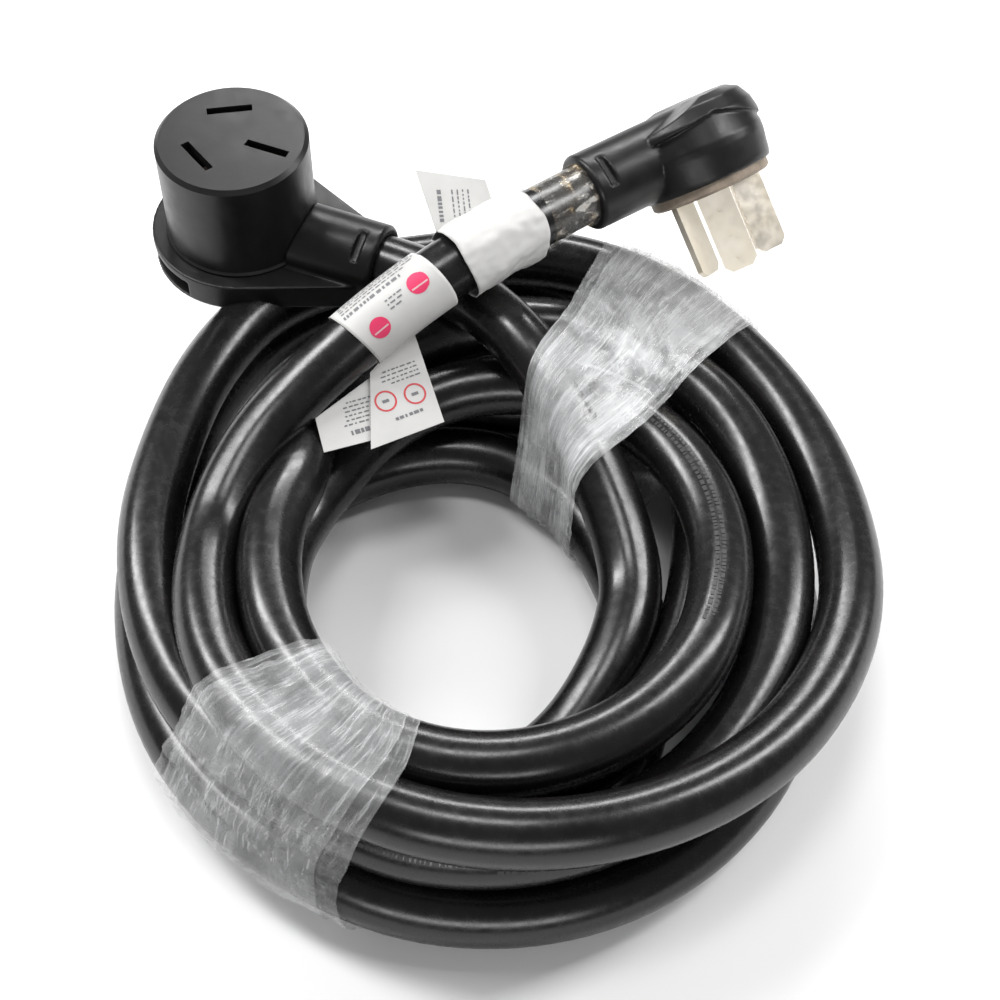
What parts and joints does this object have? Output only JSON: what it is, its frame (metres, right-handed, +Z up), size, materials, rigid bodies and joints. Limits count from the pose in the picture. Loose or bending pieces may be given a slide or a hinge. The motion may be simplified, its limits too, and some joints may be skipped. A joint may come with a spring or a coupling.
{
  "type": "shore power cord",
  "caption": "Heavy black power cord wound into a round coil, with a right-angle plug of flat twisted blades and a round right-angle connector, held by clear film bands and labelled.",
  "frame": {"origin": "on the surface the coil lies on, under the middle of the whole cord's bounding box", "axes": "+Z up along the coil's axis; the plug and the connector are at the +Y side, the connector towards -X and the plug towards +X"},
  "size_m": [0.2838, 0.328, 0.114],
  "materials": {
    "cord_jacket": "glossy black jacket",
    "moulding": "semi-gloss black moulding",
    "blade_carrier": "matt grey-brown moulding",
    "plated_blade": "nickel plated, bright",
    "contact_brass": "bare brass",
    "copper": null,
    "core_white": "satin",
    "core_black": "satin",
    "core_red": "satin",
    "clear_film": "clear film, crinkled",
    "label_paper": "white coated paper, printed"
  },
  "bodies": {
    "root": {"cord_coil": "cord_jacket", "cord_connector_lead": "cord_jacket", "cord_plug_lead": "cord_jacket", "plug_overmould": "moulding", "plug_blade_carrier": "blade_carrier", "connector_back": "moulding", "connector_barrel": "moulding", "connector_carrier": "blade_carrier", "plug_blade_neutral": "plated_blade", "plug_crimp_neutral": "contact_brass", "plug_strands_neutral": "copper", "connector_contact_neutral": "contact_brass", "connector_crimp_neutral": "contact_brass", "connector_strands_neutral": "copper", "plug_core_neutral": "core_white", "connector_core_neutral": "core_white", "plug_blade_line_1": "plated_blade", "plug_crimp_line_1": "contact_brass", "plug_strands_line_1": "copper", "connector_contact_line_1": "contact_brass", "connector_crimp_line_1": "contact_brass", "connector_strands_line_1": "copper", "plug_core_line_1": "core_black", "connector_core_line_1": "core_black", "plug_blade_line_2": "plated_blade", "plug_crimp_line_2": "contact_brass", "plug_strands_line_2": "copper", "connector_contact_line_2": "contact_brass", "connector_crimp_line_2": "contact_brass", "connector_strands_line_2": "copper", "plug_core_line_2": "core_red", "connector_core_line_2": "core_red", "film_near": "clear_film", "film_far": "clear_film", "clear_tape": "clear_film", "label_sleeve": "label_paper", "label_tag": "label_paper", "label_wrap": "label_paper", "label_flag_1": "label_paper", "label_flag_2": "label_paper"}
  },
  "joints": []
}
